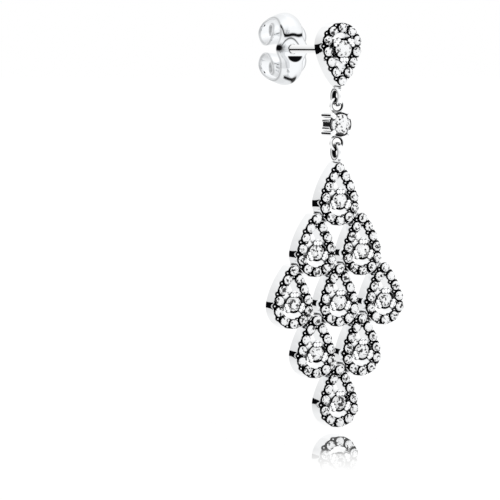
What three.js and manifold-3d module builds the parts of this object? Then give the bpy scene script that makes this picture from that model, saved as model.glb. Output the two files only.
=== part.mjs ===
// Chandelier earring of pavé-set pears: stud with post, square-claw connector, drop of nine pears
// and a butterfly clutch. Millimetres, +Z up, the front faces -Y.
// The origin is on the post's axis, at the back face of the stud, where it lies against the ear lobe.
import * as THREE from 'three';
import { mergeVertices } from 'three/addons/utils/BufferGeometryUtils.js';
import Module from 'manifold-3d';

const wasm = await Module();
wasm.setup();

// Pear frame, seen from the front: a round end and a small round tip joined by two side arcs
const PEAR_ROUND_RADIUS = 2.35;
const PEAR_TIP_RADIUS = 0.65;
const PEAR_TIP_RISE = 3.56;
const PEAR_SHOULDER_ANGLE = 15;
const BAND_WIDTH = 1.19;
const FRAME_DEPTH = 1.5;

// Small stones set along the middle of each band
const PAVE_COUNT = 12;
const PAVE_DIAMETER = 0.98;
const PAVE_FACETS = 8;
const PAVE_SINK = 0.15;

// Proportions of a round cut stone, as shares of its diameter
const TABLE_SHARE = 0.56;
const CROWN_SHARE = 0.15;
const GIRDLE_SHARE = 0.03;
const PAVILION_SHARE = 0.42;
const STONE_FACETS = 12;

// Claw setting of a centre stone: a collet under the stone and three claws round it
const STONE_CLEARANCE = 0.05;
const COLLET_WALL = 0.24;
const COLLET_DEPTH = 1.0;
const COLLET_SIDES = 10;
const CLAW_RADIUS = 0.37;
const CLAW_OVERLAP = 0.05;
const CLAW_RISE = 0.2;
const CLAW_TOP_SHARE = 0.6;
const CLAW_SIDES = 6;

// Stud
const STUD_STONE_DIAMETER = 1.8;
const STUD_STONE_OFFSET = 0.41;
const STUD_STONE_STAND = 0.4;
const STUD_CLAW_ANGLES = [40, 140, 270];
const BRIDGE_HEIGHT = 0.9;
const BRIDGE_DEPTH = 0.5;

// Post and what it passes through
const POST_DIAMETER = 0.9;
const POST_LENGTH = 11.5;
const POST_TAPER = 0.3;
const POST_END_SHARE = 0.6;
const LOBE_GAP = 8.8;

// Wire loops: round bails on the frames, thinner rings on the connector
const BAIL_WIRE_DIAMETER = 0.62;
const BAIL_LOOP_RADIUS = 0.76;
const BAIL_SINK = 0.12;
const RING_WIRE_DIAMETER = 0.32;
const RING_RADIUS = 0.665;
const RING_SINK = 0.1;
const LINK_CLEARANCE = 0.03;
const LINK_SETBACK = 0.5;
const LINK_SEGMENTS = 16;
const BAIL_WIRE_SIDES = 8;
const RING_WIRE_SIDES = 6;

// Connector: four bars from front to back round one stone
const CONNECTOR_STONE_DIAMETER = 2.1;
const BAR_THICKNESS = 0.56;
const BASKET_WIDTH = 2.52;
const BASKET_HEIGHT = 2.36;
const BASKET_DEPTH = 2.28;
const BASKET_FRONT = 1.72;
const GALLERY_THICKNESS = 0.36;
const CROSS_BAR_DEPTH = 0.5;
const CHEEK_HEIGHT = 0.98;
const CHEEK_THICKNESS = 0.28;
const CHEEK_INSET = 0.06;
const CUP_WALL = 0.2;
const CUP_DEPTH = 0.75;

// Drop: rows of pears, each row nestled under the one above
const DROP_ROWS = [1, 2, 3, 2, 1];
const COLUMN_PITCH = 5.3;
const ROW_PITCH = 5.14;
const DROP_SETBACK = 0.45;
const DROP_STONE_DIAMETER = 1.5;
const DROP_STONE_OFFSET = 0.29;
const DROP_STONE_STAND = 0.2;
const DROP_CLAW_ANGLES = [90, 205, 335];
const SOLDER_RADIUS = 0.32;
const SOLDER_RECESS = 0.15;

// Butterfly clutch: one strip with a plate in front, both wings rolled up behind it
const STRIP_THICKNESS = 0.3;
const PLATE_WIDTH = 3.9;
const NECK_WIDTH = 2.7;
const WING_WIDTH = 4.6;
const WING_LATER_WIDTH = 4.5;
const WING_END_WIDTH = 4.0;
const ROLL_RADIUS = 1.95;
const ROLL_TURNS = 1.6;
const ROLL_PITCH = 0.62;
const STRIP_STEPS = 68;
const PLATE_SHARE = 0.2;
const WING_SHARE = 0.45;
const WING_LATER_SHARE = 0.75;
const POST_CLEARANCE = 0.05;
const BORE_SIDES = 16;

// Heights, worked out from the top down
const pearHeight = PEAR_TIP_RISE + PEAR_TIP_RADIUS;
const bailReach = BAIL_LOOP_RADIUS + BAIL_WIRE_DIAMETER / 2;
const wireContact = (BAIL_WIRE_DIAMETER + RING_WIRE_DIAMETER) / 2 + LINK_CLEARANCE;
const ringSeat = RING_RADIUS + RING_WIRE_DIAMETER / 2 - RING_SINK + BASKET_HEIGHT / 2;
const studCentreZ = STUD_STONE_OFFSET;
const studBailZ = studCentreZ - pearHeight - bailReach + BAIL_SINK;
const upperRingZ = studBailZ - BAIL_LOOP_RADIUS + wireContact - RING_RADIUS;
const connectorZ = upperRingZ - ringSeat;
const lowerRingZ = connectorZ - ringSeat;
const dropBailZ = lowerRingZ - RING_RADIUS + wireContact - BAIL_LOOP_RADIUS;
const dropTopZ = dropBailZ - bailReach + BAIL_SINK - pearHeight;

const silver = { color: '#d9dbde', roughness: 0.12, metalness: 1.0 };
const zirconia = { color: '#eef1f4', roughness: 0.02, metalness: 0.0 };

// A closed three.js geometry as a solid: only its places are kept, and faces without area go
function solidFrom(geometry) {
  geometry.deleteAttribute('normal');
  geometry.deleteAttribute('uv');
  const merged = mergeVertices(geometry, 1e-4);
  const corners = [];
  for (let i = 0; i < merged.index.count; i += 3) {
    const a = merged.index.getX(i);
    const b = merged.index.getX(i + 1);
    const c = merged.index.getX(i + 2);
    if (a !== b && b !== c && c !== a) {
      corners.push(a, b, c);
    }
  }
  const mesh = new wasm.Mesh({
    numProp: 3,
    vertProperties: new Float32Array(merged.attributes.position.array),
    triVerts: new Uint32Array(corners),
  });
  return new wasm.Manifold(mesh);
}

function joined(solids) {
  return solids.reduce((whole, solid) => whole.add(solid));
}

function meshFrom(name, solid, look) {
  const data = solid.getMesh();
  const geometry = new THREE.BufferGeometry();
  geometry.setAttribute('position', new THREE.BufferAttribute(data.vertProperties, 3));
  geometry.setIndex(new THREE.BufferAttribute(data.triVerts, 1));
  geometry.computeVertexNormals();
  const mesh = new THREE.Mesh(geometry, new THREE.MeshStandardMaterial(look));
  mesh.name = name;
  return mesh;
}

// A flat outline as a plate whose back face is at Y = back and whose front is depth nearer
function plate(shape, back, depth) {
  const geometry = new THREE.ExtrudeGeometry(shape, { depth, bevelEnabled: false });
  geometry.rotateX(Math.PI / 2);
  geometry.translate(0, back, 0);
  return geometry;
}

// A turned piece on an axis that runs from back to front: points are radius and distance forward
function turned(profile, sides, x, back, z) {
  const points = profile.map(([radius, forward]) => new THREE.Vector2(radius, forward));
  const geometry = new THREE.LatheGeometry(points, sides);
  geometry.rotateX(Math.PI);
  geometry.translate(x, back, z);
  return geometry;
}

function box(width, depth, height, x, y, z) {
  const geometry = new THREE.BoxGeometry(width, depth, height);
  geometry.translate(x, y, z);
  return geometry;
}

// The pear's outline moved inwards by inset, as arcs that start at the tip; past the tip's own
// radius the side arcs meet in a point
function pearPath(inset) {
  const shoulder = THREE.MathUtils.degToRad(PEAR_SHOULDER_ANGLE);
  const taper = PEAR_ROUND_RADIUS - PEAR_TIP_RADIUS;
  const reach = (PEAR_TIP_RISE ** 2 - taper ** 2) / (2 * (taper - PEAR_TIP_RISE * Math.sin(shoulder)));
  const sideX = reach * Math.cos(shoulder);
  const sideY = -reach * Math.sin(shoulder);
  const sideRadius = PEAR_ROUND_RADIUS + reach - inset;
  const tipRadius = PEAR_TIP_RADIUS - inset;
  const hasTip = tipRadius > 0;
  const meet = hasTip ? Math.atan2(PEAR_TIP_RISE - sideY, sideX) : Math.acos(sideX / sideRadius);
  const path = new THREE.Path();
  if (hasTip) {
    path.absarc(0, PEAR_TIP_RISE, tipRadius, Math.PI / 2, Math.PI - meet);
  }
  path.absarc(sideX, sideY, sideRadius, Math.PI - meet, Math.PI - shoulder);
  const quarter = (Math.PI + 2 * shoulder) / 4;
  for (let i = 0; i < 4; i += 1) {
    const start = Math.PI - shoulder + i * quarter;
    path.absarc(0, 0, PEAR_ROUND_RADIUS - inset, start, start + quarter);
  }
  path.absarc(-sideX, sideY, sideRadius, shoulder, meet);
  if (hasTip) {
    path.absarc(0, PEAR_TIP_RISE, tipRadius, meet, Math.PI / 2);
  }
  return path;
}

function pearBand() {
  const shape = new THREE.Shape(pearPath(0).getPoints(2));
  shape.holes.push(new THREE.Path(pearPath(BAND_WIDTH).getPoints(2)));
  return solidFrom(plate(shape, 0, FRAME_DEPTH));
}

// A round cut stone: culet, pavilion, girdle, crown and flat table. Its girdle's middle is at
// y = girdle, and it faces forward. Grown by clearance on every side for the seat cut for it
function cutStone(diameter, facets, x, girdle, z, clearance = 0) {
  const radius = diameter / 2;
  const grown = 1 + clearance / (radius * Math.sin(Math.PI / 5));
  const halfGirdle = (GIRDLE_SHARE * diameter) / 2;
  const profile = [
    [0, -halfGirdle - PAVILION_SHARE * diameter],
    [radius, -halfGirdle],
    [radius, halfGirdle],
    [TABLE_SHARE * radius, halfGirdle + CROWN_SHARE * diameter],
    [0, halfGirdle + CROWN_SHARE * diameter],
  ];
  const scaled = profile.map(([r, forward]) => [r * grown, forward * grown]);
  return solidFrom(turned(scaled, facets, x, girdle, z));
}

// Crown and table of a small stone whose edge is level with the band's front
function paveStone(x, z) {
  const radius = PAVE_DIAMETER / 2;
  const profile = [
    [0, -PAVE_SINK],
    [radius, -PAVE_SINK],
    [radius, 0],
    [TABLE_SHARE * radius, CROWN_SHARE * PAVE_DIAMETER],
    [0, CROWN_SHARE * PAVE_DIAMETER],
  ];
  return solidFrom(turned(profile, PAVE_FACETS, x, -FRAME_DEPTH, z));
}

function paveStones() {
  const places = pearPath(BAND_WIDTH / 2).getSpacedPoints(PAVE_COUNT).slice(0, PAVE_COUNT);
  return places.map((place) => paveStone(place.x, place.y));
}

// Middle of a stone's girdle when the girdle's front edge stands proud of the frame's front
function girdlePlace(diameter, stand) {
  return -FRAME_DEPTH - stand + (GIRDLE_SHARE / 2) * diameter;
}

function collet(diameter, z, girdle, depth) {
  const outer = diameter / 2 + STONE_CLEARANCE;
  const inner = outer - COLLET_WALL;
  const profile = [
    [inner, -depth],
    [outer, -depth],
    [outer, 0],
    [inner, 0],
    [inner, -depth],
  ];
  return solidFrom(turned(profile, COLLET_SIDES, 0, girdle, z));
}

// A claw stands beside the stone and reaches a little over its edge
function claw(diameter, angle, z, girdle, depth) {
  const turn = THREE.MathUtils.degToRad(angle);
  const reach = diameter / 2 + CLAW_RADIUS - CLAW_OVERLAP;
  const profile = [
    [0, -depth],
    [CLAW_RADIUS, -depth],
    [CLAW_RADIUS, CLAW_RISE / 2],
    [CLAW_RADIUS * CLAW_TOP_SHARE, CLAW_RISE],
    [0, CLAW_RISE],
  ];
  const x = reach * Math.cos(turn);
  return solidFrom(turned(profile, CLAW_SIDES, x, girdle, z + reach * Math.sin(turn)));
}

// Collet and claws of one centre stone, with the stone's seat cut out
function stoneSetting(diameter, z, stand, angles, depth) {
  const girdle = girdlePlace(diameter, stand);
  const pieces = [collet(diameter, z, girdle, depth)];
  for (const angle of angles) {
    pieces.push(claw(diameter, angle, z, girdle, depth));
  }
  const seat = cutStone(diameter, STONE_FACETS, 0, girdle, z, STONE_CLEARANCE);
  return joined(pieces).subtract(seat);
}

function centreStone(diameter, z, stand) {
  return cutStone(diameter, STONE_FACETS, 0, girdlePlace(diameter, stand), z);
}

function bail(z) {
  const loop = new THREE.TorusGeometry(
    BAIL_LOOP_RADIUS, BAIL_WIRE_DIAMETER / 2, BAIL_WIRE_SIDES, LINK_SEGMENTS);
  loop.rotateY(Math.PI / 2);
  loop.translate(0, -LINK_SETBACK, z);
  return solidFrom(loop);
}

function linkRing(z) {
  const ring = new THREE.TorusGeometry(
    RING_RADIUS, RING_WIRE_DIAMETER / 2, RING_WIRE_SIDES, LINK_SEGMENTS);
  ring.rotateX(Math.PI / 2);
  ring.translate(0, -LINK_SETBACK, z);
  return solidFrom(ring);
}

// Bridge across the stud's opening that carries the collet in front and the post behind
function studBridge() {
  const width = 2 * PEAR_ROUND_RADIUS - BAND_WIDTH;
  return solidFrom(box(width, BRIDGE_DEPTH, BRIDGE_HEIGHT, 0, -BRIDGE_DEPTH / 2, 0));
}

function post() {
  const radius = POST_DIAMETER / 2;
  const profile = [
    [0, -POST_LENGTH],
    [radius * POST_END_SHARE, -POST_LENGTH],
    [radius, -POST_LENGTH + POST_TAPER],
    [radius, BRIDGE_DEPTH / 2],
    [0, BRIDGE_DEPTH / 2],
  ];
  return solidFrom(turned(profile, BORE_SIDES, 0, 0, 0));
}

function studFrame() {
  const girdle = girdlePlace(STUD_STONE_DIAMETER, STUD_STONE_STAND);
  const colletDepth = -BRIDGE_DEPTH / 2 - girdle;
  const upsideDown = joined([pearBand(), ...paveStones()]).rotate([0, 180, 0]);
  const band = upsideDown.translate([0, 0, studCentreZ]);
  const setting = stoneSetting(
    STUD_STONE_DIAMETER, 0, STUD_STONE_STAND, STUD_CLAW_ANGLES, colletDepth);
  return joined([band, setting, studBridge(), post(), bail(studBailZ)]);
}

function connectorBars() {
  const x = (BASKET_WIDTH - BAR_THICKNESS) / 2;
  const z = (BASKET_HEIGHT - BAR_THICKNESS) / 2;
  const middle = BASKET_DEPTH / 2 - BASKET_FRONT;
  const bars = [];
  for (const side of [-1, 1]) {
    for (const level of [-1, 1]) {
      const bar = box(BAR_THICKNESS, BASKET_DEPTH, BAR_THICKNESS, side * x, middle, level * z);
      bars.push(solidFrom(bar));
    }
  }
  return bars;
}

// Back rails of the connector, the cross bars that carry the rings, and a cheek at each side that
// runs from the cup to a bar across the back
function connectorGalleries() {
  const back = BASKET_DEPTH - BASKET_FRONT;
  const z = (BASKET_HEIGHT - GALLERY_THICKNESS) / 2;
  const y = back - GALLERY_THICKNESS / 2;
  const cheekX = (BASKET_WIDTH - CHEEK_THICKNESS) / 2 - CHEEK_INSET;
  const cheekFront = connectorGirdle() + CUP_DEPTH / 2;
  const cheekDepth = back - cheekFront;
  const cheekY = (back + cheekFront) / 2;
  const pieces = [box(2 * cheekX, GALLERY_THICKNESS, CHEEK_HEIGHT, 0, y, 0)];
  for (const side of [-1, 1]) {
    pieces.push(box(BASKET_WIDTH, GALLERY_THICKNESS, GALLERY_THICKNESS, 0, y, side * z));
    pieces.push(box(BASKET_WIDTH, CROSS_BAR_DEPTH, GALLERY_THICKNESS, 0, -LINK_SETBACK, side * z));
    pieces.push(box(CHEEK_THICKNESS, cheekDepth, CHEEK_HEIGHT, side * cheekX, cheekY, 0));
  }
  return pieces.map(solidFrom);
}

function connectorGirdle() {
  return -BASKET_FRONT + CROWN_SHARE * CONNECTOR_STONE_DIAMETER;
}

function connectorCup() {
  const outer = Math.hypot(BASKET_WIDTH, BASKET_HEIGHT) / 2 - BAR_THICKNESS;
  const profile = [
    [outer - CUP_WALL, -CUP_DEPTH],
    [outer, -CUP_DEPTH],
    [outer, 0],
    [outer - CUP_WALL, 0],
    [outer - CUP_WALL, -CUP_DEPTH],
  ];
  return solidFrom(turned(profile, COLLET_SIDES, 0, connectorGirdle(), 0));
}

function connectorSetting() {
  const body = joined([...connectorBars(), ...connectorGalleries(), connectorCup()]);
  const seat = cutStone(
    CONNECTOR_STONE_DIAMETER, STONE_FACETS, 0, connectorGirdle(), 0, STONE_CLEARANCE);
  const basket = body.subtract(seat).translate([0, 0, connectorZ]);
  return joined([basket, linkRing(upperRingZ), linkRing(lowerRingZ)]);
}

function connectorStone() {
  return cutStone(CONNECTOR_STONE_DIAMETER, STONE_FACETS, 0, connectorGirdle(), connectorZ);
}

// Round-end centres of the drop's pears, row by row
function dropPlaces() {
  const places = [];
  DROP_ROWS.forEach((count, row) => {
    for (let i = 0; i < count; i += 1) {
      places.push([(i - (count - 1) / 2) * COLUMN_PITCH, dropTopZ - row * ROW_PITCH]);
    }
  });
  return places;
}

// Solder between the round end of one pear and the tips of the pears beside and below it
function solderJoints(places) {
  const joints = [];
  const depth = FRAME_DEPTH - 2 * SOLDER_RECESS;
  for (const [x, z] of places) {
    for (const side of [-1, 1]) {
      const tipX = x + (side * COLUMN_PITCH) / 2;
      const pearZ = z - ROW_PITCH;
      const isThere = places.some((p) => Math.hypot(p[0] - tipX, p[1] - pearZ) < PEAR_TIP_RADIUS);
      if (!isThere) {
        continue;
      }
      const along = new THREE.Vector2(tipX - x, pearZ + PEAR_TIP_RISE - z);
      const gap = along.length() - PEAR_ROUND_RADIUS - PEAR_TIP_RADIUS;
      along.setLength(PEAR_ROUND_RADIUS + gap / 2);
      const profile = [
        [0, 0],
        [SOLDER_RADIUS, 0],
        [SOLDER_RADIUS, depth],
        [0, depth],
      ];
      const back = DROP_SETBACK - SOLDER_RECESS;
      joints.push(solidFrom(turned(profile, 8, x + along.x, back, z + along.y)));
    }
  }
  return joints;
}

function dropFrame(places) {
  const setting = stoneSetting(
    DROP_STONE_DIAMETER, DROP_STONE_OFFSET, DROP_STONE_STAND, DROP_CLAW_ANGLES, COLLET_DEPTH);
  const pear = joined([pearBand(), ...paveStones(), setting]);
  const pears = places.map(([x, z]) => pear.translate([x, DROP_SETBACK, z]));
  return joined([...pears, ...solderJoints(places), bail(dropBailZ)]);
}

// Middle of the strip from the side, at share t from its middle to the end of one wing. Gives
// how far back and up it lies there, and which way its outer face looks
function stripPlace(t) {
  const gripRadius = ROLL_RADIUS - 0.75 * ROLL_PITCH;
  const rollZ = POST_DIAMETER / 2 + POST_CLEARANCE + gripRadius;
  const rollY = LOBE_GAP + ROLL_RADIUS;
  if (t < PLATE_SHARE) {
    const place = new THREE.Vector2(LOBE_GAP + STRIP_THICKNESS / 2, (rollZ * t) / PLATE_SHARE);
    return { place, outward: new THREE.Vector2(-1, 0) };
  }
  const turn = ((t - PLATE_SHARE) / (1 - PLATE_SHARE)) * ROLL_TURNS;
  const angle = Math.PI - turn * 2 * Math.PI;
  const outward = new THREE.Vector2(Math.cos(angle), Math.sin(angle));
  const radius = ROLL_RADIUS - ROLL_PITCH * turn - STRIP_THICKNESS / 2;
  return { place: new THREE.Vector2(rollY, rollZ).addScaledVector(outward, radius), outward };
}

// Width of the strip: full at the post, a neck where it starts to roll, then the wide wing
function stripWidth(t) {
  const sections = [
    { share: 0, width: PLATE_WIDTH },
    { share: PLATE_SHARE, width: NECK_WIDTH },
    { share: WING_SHARE, width: WING_WIDTH },
    { share: WING_LATER_SHARE, width: WING_LATER_WIDTH },
    { share: 1, width: WING_END_WIDTH },
  ];
  const next = sections.findIndex((section) => section.share >= t);
  const high = sections[Math.max(next, 1)];
  const low = sections[Math.max(next, 1) - 1];
  const blend = THREE.MathUtils.smoothstep(t, low.share, high.share);
  return THREE.MathUtils.lerp(low.width, high.width, blend);
}

// The strip starts as a straight box from Z = -1 to 1, and each of its corners is bent to its
// place
function strip() {
  const geometry = new THREE.BoxGeometry(1, STRIP_THICKNESS, 2, 1, 1, STRIP_STEPS);
  const corners = geometry.attributes.position;
  for (let i = 0; i < corners.count; i += 1) {
    const along = corners.getZ(i);
    const t = Math.min(Math.abs(along), 1);
    const { place, outward } = stripPlace(t);
    const bent = place.addScaledVector(outward, -corners.getY(i));
    const side = along < 0 ? -1 : 1;
    corners.setXYZ(i, corners.getX(i) * stripWidth(t), bent.x, side * bent.y);
  }
  return solidFrom(geometry);
}

function clutch() {
  const radius = POST_DIAMETER / 2 + POST_CLEARANCE;
  const boreProfile = [
    [0, 0],
    [radius, 0],
    [radius, 3 * STRIP_THICKNESS],
    [0, 3 * STRIP_THICKNESS],
  ];
  const bore = turned(boreProfile, BORE_SIDES, 0, LOBE_GAP + 2 * STRIP_THICKNESS, 0);
  return strip().subtract(solidFrom(bore));
}

function earring() {
  const group = new THREE.Group();
  const places = dropPlaces();
  const studStone = centreStone(STUD_STONE_DIAMETER, 0, STUD_STONE_STAND);
  group.add(meshFrom('stud_frame_with_post', studFrame(), silver));
  group.add(meshFrom('stud_stone', studStone, zirconia));
  group.add(meshFrom('connector_setting', connectorSetting(), silver));
  group.add(meshFrom('connector_stone', connectorStone(), zirconia));
  group.add(meshFrom('drop_frame', dropFrame(places), silver));
  places.forEach(([x, z], i) => {
    const stone = centreStone(DROP_STONE_DIAMETER, DROP_STONE_OFFSET, DROP_STONE_STAND);
    const placed = stone.translate([x, DROP_SETBACK, z]);
    group.add(meshFrom(`drop_stone_${i + 1}`, placed, zirconia));
  });
  group.add(meshFrom('butterfly_clutch', clutch(), silver));
  return group;
}

export default earring();
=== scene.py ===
"""Looks of a silver chandelier earring: pavé pears, cut stones, wire links, post and clutch."""

from math import atan2, cos, exp, hypot, pi, radians, sin, sqrt, tau

import bmesh
import bpy
from bpy.props import FloatProperty, FloatVectorProperty, IntProperty
from bpy.props import PointerProperty, StringProperty
from mathutils import Matrix, Vector


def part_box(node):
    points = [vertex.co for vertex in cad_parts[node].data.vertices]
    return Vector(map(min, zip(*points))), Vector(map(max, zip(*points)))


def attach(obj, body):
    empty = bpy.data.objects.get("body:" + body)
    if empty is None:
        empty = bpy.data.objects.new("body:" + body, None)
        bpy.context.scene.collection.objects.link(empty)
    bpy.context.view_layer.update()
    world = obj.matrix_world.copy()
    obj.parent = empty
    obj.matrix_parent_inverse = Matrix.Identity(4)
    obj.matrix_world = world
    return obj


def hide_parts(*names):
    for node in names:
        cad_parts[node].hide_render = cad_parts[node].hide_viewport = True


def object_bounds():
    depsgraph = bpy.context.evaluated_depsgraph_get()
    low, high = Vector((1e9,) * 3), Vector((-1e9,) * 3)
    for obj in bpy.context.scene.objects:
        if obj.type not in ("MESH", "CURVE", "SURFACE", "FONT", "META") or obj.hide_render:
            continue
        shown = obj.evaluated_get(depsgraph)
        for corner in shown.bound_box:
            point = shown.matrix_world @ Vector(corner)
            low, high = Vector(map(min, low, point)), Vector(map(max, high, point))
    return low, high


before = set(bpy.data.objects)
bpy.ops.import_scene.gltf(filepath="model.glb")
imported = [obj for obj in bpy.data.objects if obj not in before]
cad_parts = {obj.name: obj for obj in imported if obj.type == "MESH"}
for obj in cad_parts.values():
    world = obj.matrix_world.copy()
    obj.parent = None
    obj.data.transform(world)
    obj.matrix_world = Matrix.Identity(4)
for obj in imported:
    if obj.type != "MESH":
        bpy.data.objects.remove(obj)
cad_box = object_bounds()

bl_info = {
    "name": "Chandelier earring",
    "version": (1, 0, 0),
    "blender": (4, 5, 0),
    "location": "View3D > Sidebar > Earring",
    "description": "Makes a pavé chandelier earring's finished pieces round its measured frame",
    "category": "Object",
}

MM = 0.001
MERGE_DISTANCE = 0.0005 * MM
SHARP_ANGLE = radians(38)
DROP_STONES = [f"drop_stone_{i + 1}" for i in range(9)]
# Attribute saying how dark a point is painted: mostly painted shade, shadow and reflection, partly
# blackening
SHADE_AND_BLACKENING = "painted_shade_and_blackening"
FACET_TONE = "facet_tone"
# Degrees round the stone from its right
DROP_CLAWS, STUD_CLAWS = (90, 205, 335), (40, 140, 270)
# Over this share of a wire's radius it turns from bright to dark: partly tarnish, partly painted
# shade and reflection
SHADE_AND_TARNISH_FADE = 0.35
TIP_STEPS, SIDE_STEPS, ROUND_STEPS = 12, 42, 96
ORIGIN = Vector((0, 0, 0))


def length(name, description, default_mm):
    """A size in metres whose default is given in millimetres."""
    return FloatProperty(
        name=name, description=description, default=default_mm * MM, unit="LENGTH", precision=6
    )


def angle_size(name, description, degrees):
    """An angle whose default is given in degrees."""
    return FloatProperty(
        name=name, description=description, default=radians(degrees), subtype="ANGLE"
    )


def number(name, description, default):
    return FloatProperty(name=name, description=description, default=default)


def hex_colour(name, description, default):
    return StringProperty(name=name, description=description, default=default)


class PearSizes(bpy.types.PropertyGroup):
    """The pear-shaped band and the stones set along it"""

    round_radius: length("Round radius", "Outer radius of the round end", 2.348)
    tip_radius: length("Tip radius", "Outer radius of the tip", 0.65)
    tip_rise: length("Tip rise", "Height of the tip's centre above the round end's centre", 3.56)
    shoulder: angle_size("Shoulder", "Angle above level where round end and side arc meet", 15)
    band: length("Band width", "Width of the band seen from the front", 1.19)
    depth: length("Depth", "Depth of the band from back to front", 1.5)
    edge: length("Edge", "Rounding of the band's back edges", 0.04)
    draft: length("Draft", "How far the outer wall leans in from the back to the rim", 0.06)
    rim: length("Rim", "Distance of the rim's inner edge from the wall", 0.11)
    bed: length("Bed", "Depth of the bed the stones sit in", 0.3)
    notch: length("Notch", "Depth of the cut across the rim between two stones", 0.24)
    notch_inset: length("Notch inset", "How far the rim is drawn in between two stones", 0.04)
    stones: IntProperty(name="Stones", description="Small stones on one band", default=12, min=6)
    stone: length("Small stone", "Diameter of a small stone", 0.9)
    stone_rise: length("Stone rise", "Height of a small stone's girdle over the rim", 0.25)
    bead: length("Bead", "Diameter of the bead prongs between the small stones", 0.19)
    bead_offset: length("Bead offset", "Distance of the beads from the band's middle", 0.33)
    bead_sink: length("Bead sink", "Depth of the beads' middles under the rim", 0.02)


class StoneSizes(bpy.types.PropertyGroup):
    """Proportions of a round brilliant, as shares of its diameter"""

    table: number("Table", "Width of the flat table", 0.56)
    crown: number("Crown", "Height of the crown", 0.15)
    girdle: number("Girdle", "Height of the girdle", 0.03)
    pavilion: number("Pavilion", "Depth under the girdle", 0.42)
    star_width: number("Star width", "Width across the star facets' outer points", 0.79)
    star_share: number("Star share", "Share of the crown below those points", 0.55)
    halves_width: number("Halves width", "Width across the lower halves' inner points", 0.24)
    halves_share: number("Halves share", "Share of the pavilion above those points", 0.78)


class SettingSizes(bpy.types.PropertyGroup):
    """Collets and claws of the centre stones, and the stones' places"""

    collet_wall: length("Collet wall", "Wall of the collet under a centre stone", 0.3)
    collet_rim: length("Collet rim", "How far the collet's rim stands out round the stone", 0.23)
    collet_depth: length("Collet depth", "Depth of the collet behind the stone's girdle", 1.0)
    claw_width: length("Claw width", "Width of a claw's head", 0.92)
    claw_reach: length("Claw reach", "Length of a claw's head away from the stone", 0.54)
    claw_lap: length("Claw lap", "How far a claw reaches over the stone's edge", 0.12)
    stone_stand: length("Stone stand", "Height of a centre stone's seat over the rim", 0.2)
    drop_offset: length("Drop stone offset", "Stone centre above the round end's centre", 0.29)
    stud_offset: length("Stud stone offset", "Round end's centre above the stud's stone", 0.41)


class LinkSizes(bpy.types.PropertyGroup):
    """Wire bails and rings, and the connector's basket"""

    plane: length("Link plane", "Y of the wire loops' middles", -0.5)
    bail_wire: length("Bail wire", "Thickness of the bails' wire", 0.62)
    bail_radius: length("Bail radius", "Radius of a bail's loop at the middle of its wire", 0.76)
    ring_wire: length("Ring wire", "Thickness of the connector rings' wire", 0.32)
    ring_radius: length("Ring radius", "Radius of a ring at the middle of its wire", 0.665)
    # Inside a loop the wire is dark: partly tarnish, partly painted shade and reflection
    bail_worn: number("Bail wear", "Level in the wire's section above which it is bright", -0.36)
    ring_worn: number("Ring wear", "Level in the wire's section above which it is bright", 0.12)
    bar: length("Bar", "Thickness of the basket's four bars", 0.54)
    # The dark line along a bar is a painted reflection
    seam: length("Seam", "Height of the blackened line along a bar", 0.18)
    gallery: length("Gallery", "Thickness of the basket's back gallery", 0.34)
    rail: length("Rail", "Height of the rails between the bars", 0.28)
    # The slot between the rails is painted dark: painted shade
    slot: length("Slot", "Height of the blackened slot between the rails", 0.46)
    claw: length("Basket claw", "Diameter of the rounded claw ends", 0.52)


class PostSizes(bpy.types.PropertyGroup):
    """The post that goes through the ear"""

    diameter: length("Post", "Thickness of the post", 0.9)
    foot: length("Foot", "Thickness of the solder round the post's foot", 1.35)
    groove_place: length("Groove place", "Distance of the grip groove from the post's end", 1.9)
    rounding: length("Rounding", "Rounding of the post's end", 0.3)


class ClutchSizes(bpy.types.PropertyGroup):
    """The butterfly clutch's strip"""

    thickness: length("Strip", "Thickness of the rolled strip", 0.28)
    dome: length("Dome", "How far the strip's edges bend in behind its middle", 0.3)
    hole: length("Hole", "Diameter of the hole for the post", 1.04)
    plate: length("Plate width", "Width of the strip at the post", 3.7)
    neck: length("Neck width", "Width where the strip starts to roll", 2.6)
    wing: length("Wing width", "Widest part of a wing", 4.46)
    wing_end: length("Wing end", "Width at the rolled-in end of a wing", 2.6)
    roll: length("Roll radius", "Outer radius of a roll at its start", 1.94)
    pitch: length("Roll pitch", "Distance between the turns of a roll", 0.62)
    turns: number("Turns", "Turns of each roll", 1.6)
    plate_share: number("Plate share", "Share of a half strip that stays flat", 0.2)
    marked_share: number("Marked share", "Share of a half strip that has pressed marks", 0.34)


class FinishColours(bpy.types.PropertyGroup):
    """sRGB colours of the finishes; some also stand for painted shade and reflections"""

    silver: hex_colour("Silver", "Buffed sterling silver", "#F6F7F8")
    # A greyer copy of the silver for the clutch: painted shade over its strip
    strip: hex_colour("Rolled strip", "The clutch's strip, bright but not buffed", "#E6E8EA")
    # The dark that paints shade, shadows and reflections in cuts, recesses and gaps, partly also
    # blackening of the silver
    painted_shade_and_blackening: hex_colour("Blackened silver", "Silver in cuts and recesses", "#0C0C0E")
    # Stone colour and dark facet colour paint the light the facets return: painted reflections
    zirconia: hex_colour("Zirconia", "Clear cut stone", "#FDFEFF")
    fire_low: hex_colour("Dark facet", "A stone's facet that returns little light", "#060607")
    floor: hex_colour("Floor", "Pale glossy surface under the earring", "#FFFFFF")
    card: hex_colour("Card", "Matt black card", "#020203")
    card_fibre: hex_colour("Card fibre", "The card's palest fibres", "#0A0A0C")


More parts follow.
